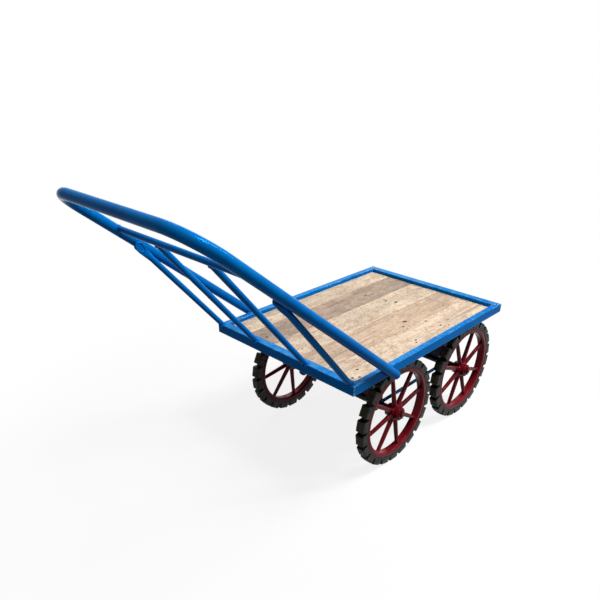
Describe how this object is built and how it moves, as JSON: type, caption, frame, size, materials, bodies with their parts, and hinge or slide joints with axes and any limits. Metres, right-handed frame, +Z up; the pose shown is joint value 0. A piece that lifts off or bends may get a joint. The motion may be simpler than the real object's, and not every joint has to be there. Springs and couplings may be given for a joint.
{
  "type": "platform hand cart",
  "caption": "Platform hand cart: railed plank deck on spoked, lug-tyred wheels, pulled or pushed by a leaning hoop handle with a crossbar, struts and braces.",
  "frame": {"origin": "on the floor, midway across the cart and midway along its whole length, grip to rear tyres", "axes": "+Y from the handle towards the rear of the deck, +Z up, +X to the right seen from the handle end"},
  "size_m": [0.7718, 1.6666, 1.1425],
  "materials": {
    "frame_paint": "gloss enamel",
    "chassis_paint": "dull enamel",
    "deck_wood": "bare sawn",
    "grey_wood": "bare weathered",
    "fastener_steel": "dull",
    "wheel_paint": "gloss enamel",
    "tyre_rubber": "matt",
    "bush_bronze": "plain"
  },
  "bodies": {
    "chassis": {"front_rail": "frame_paint", "rear_rail": "frame_paint", "left_rail": "frame_paint", "right_rail": "frame_paint", "handle_hoop": "frame_paint", "handle_crossbar": "frame_paint", "left_strut": "frame_paint", "right_strut": "frame_paint", "left_brace": "frame_paint", "right_brace": "frame_paint", "left_tie": "frame_paint", "right_tie": "frame_paint", "front_ledge": "chassis_paint", "rear_ledge": "chassis_paint", "front_bearer": "chassis_paint", "rear_bearer": "chassis_paint", "front_left_hanger": "chassis_paint", "front_right_hanger": "chassis_paint", "rear_left_hanger": "chassis_paint", "rear_right_hanger": "chassis_paint", "front_axle": "chassis_paint", "rear_axle": "chassis_paint", "deck_board_1": "deck_wood", "deck_board_3": "deck_wood", "deck_board_4": "deck_wood", "deck_board_5": "deck_wood", "deck_board_2": "grey_wood", "deck_screws": "fastener_steel", "axle_washers": "wheel_paint", "split_pins": "wheel_paint"},
    "front_left_wheel": {"front_left_tyre": "tyre_rubber", "front_left_rim": "wheel_paint", "front_left_spokes": "wheel_paint", "front_left_hub": "wheel_paint", "front_left_bush": "bush_bronze"},
    "front_right_wheel": {"front_right_tyre": "tyre_rubber", "front_right_rim": "wheel_paint", "front_right_spokes": "wheel_paint", "front_right_hub": "wheel_paint", "front_right_bush": "bush_bronze"},
    "rear_left_wheel": {"rear_left_tyre": "tyre_rubber", "rear_left_rim": "wheel_paint", "rear_left_spokes": "wheel_paint", "rear_left_hub": "wheel_paint", "rear_left_bush": "bush_bronze"},
    "rear_right_wheel": {"rear_right_tyre": "tyre_rubber", "rear_right_rim": "wheel_paint", "rear_right_spokes": "wheel_paint", "rear_right_hub": "wheel_paint", "rear_right_bush": "bush_bronze"}
  },
  "joints": [
    {"name": "front_left_spin", "type": "hinge", "parent": "chassis", "child": "front_left_wheel", "pos_m": [-0.287, 0.11821, 0.222], "axis": [1, 0, 0], "continuous": true},
    {"name": "front_right_spin", "type": "hinge", "parent": "chassis", "child": "front_right_wheel", "pos_m": [0.287, 0.11821, 0.222], "axis": [1, 0, 0], "continuous": true},
    {"name": "rear_left_spin", "type": "hinge", "parent": "chassis", "child": "rear_left_wheel", "pos_m": [-0.287, 0.61021, 0.222], "axis": [1, 0, 0], "continuous": true},
    {"name": "rear_right_spin", "type": "hinge", "parent": "chassis", "child": "rear_right_wheel", "pos_m": [0.287, 0.61021, 0.222], "axis": [1, 0, 0], "continuous": true}
  ]
}
